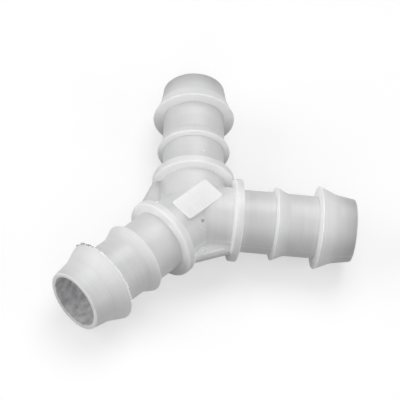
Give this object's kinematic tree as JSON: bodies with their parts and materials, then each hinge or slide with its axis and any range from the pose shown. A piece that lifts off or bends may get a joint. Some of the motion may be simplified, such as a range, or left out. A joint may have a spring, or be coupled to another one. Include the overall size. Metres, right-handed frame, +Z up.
{
  "type": "tubing y connector",
  "caption": "Moulded plastic Y connector for flexible hose, with equal barbed spigots, stop collars, webbed crotches and a raised marking pad.",
  "frame": {"origin": "the point where the axes of the three bores cross, in the middle of the hub", "axes": "-Y out of the stem's bore; the two branches lie in the plane z = 0, 45 degrees to either side of +Y; +Z up, square to the plane of the arms, towards the raised pad"},
  "size_m": [0.0826, 0.0903, 0.0252],
  "materials": {
    "natural_plastic": "natural milky polypropylene, satin as moulded, slightly see-through in thin walls"
  },
  "bodies": {
    "root": {"y_connector": "natural_plastic"}
  },
  "joints": []
}
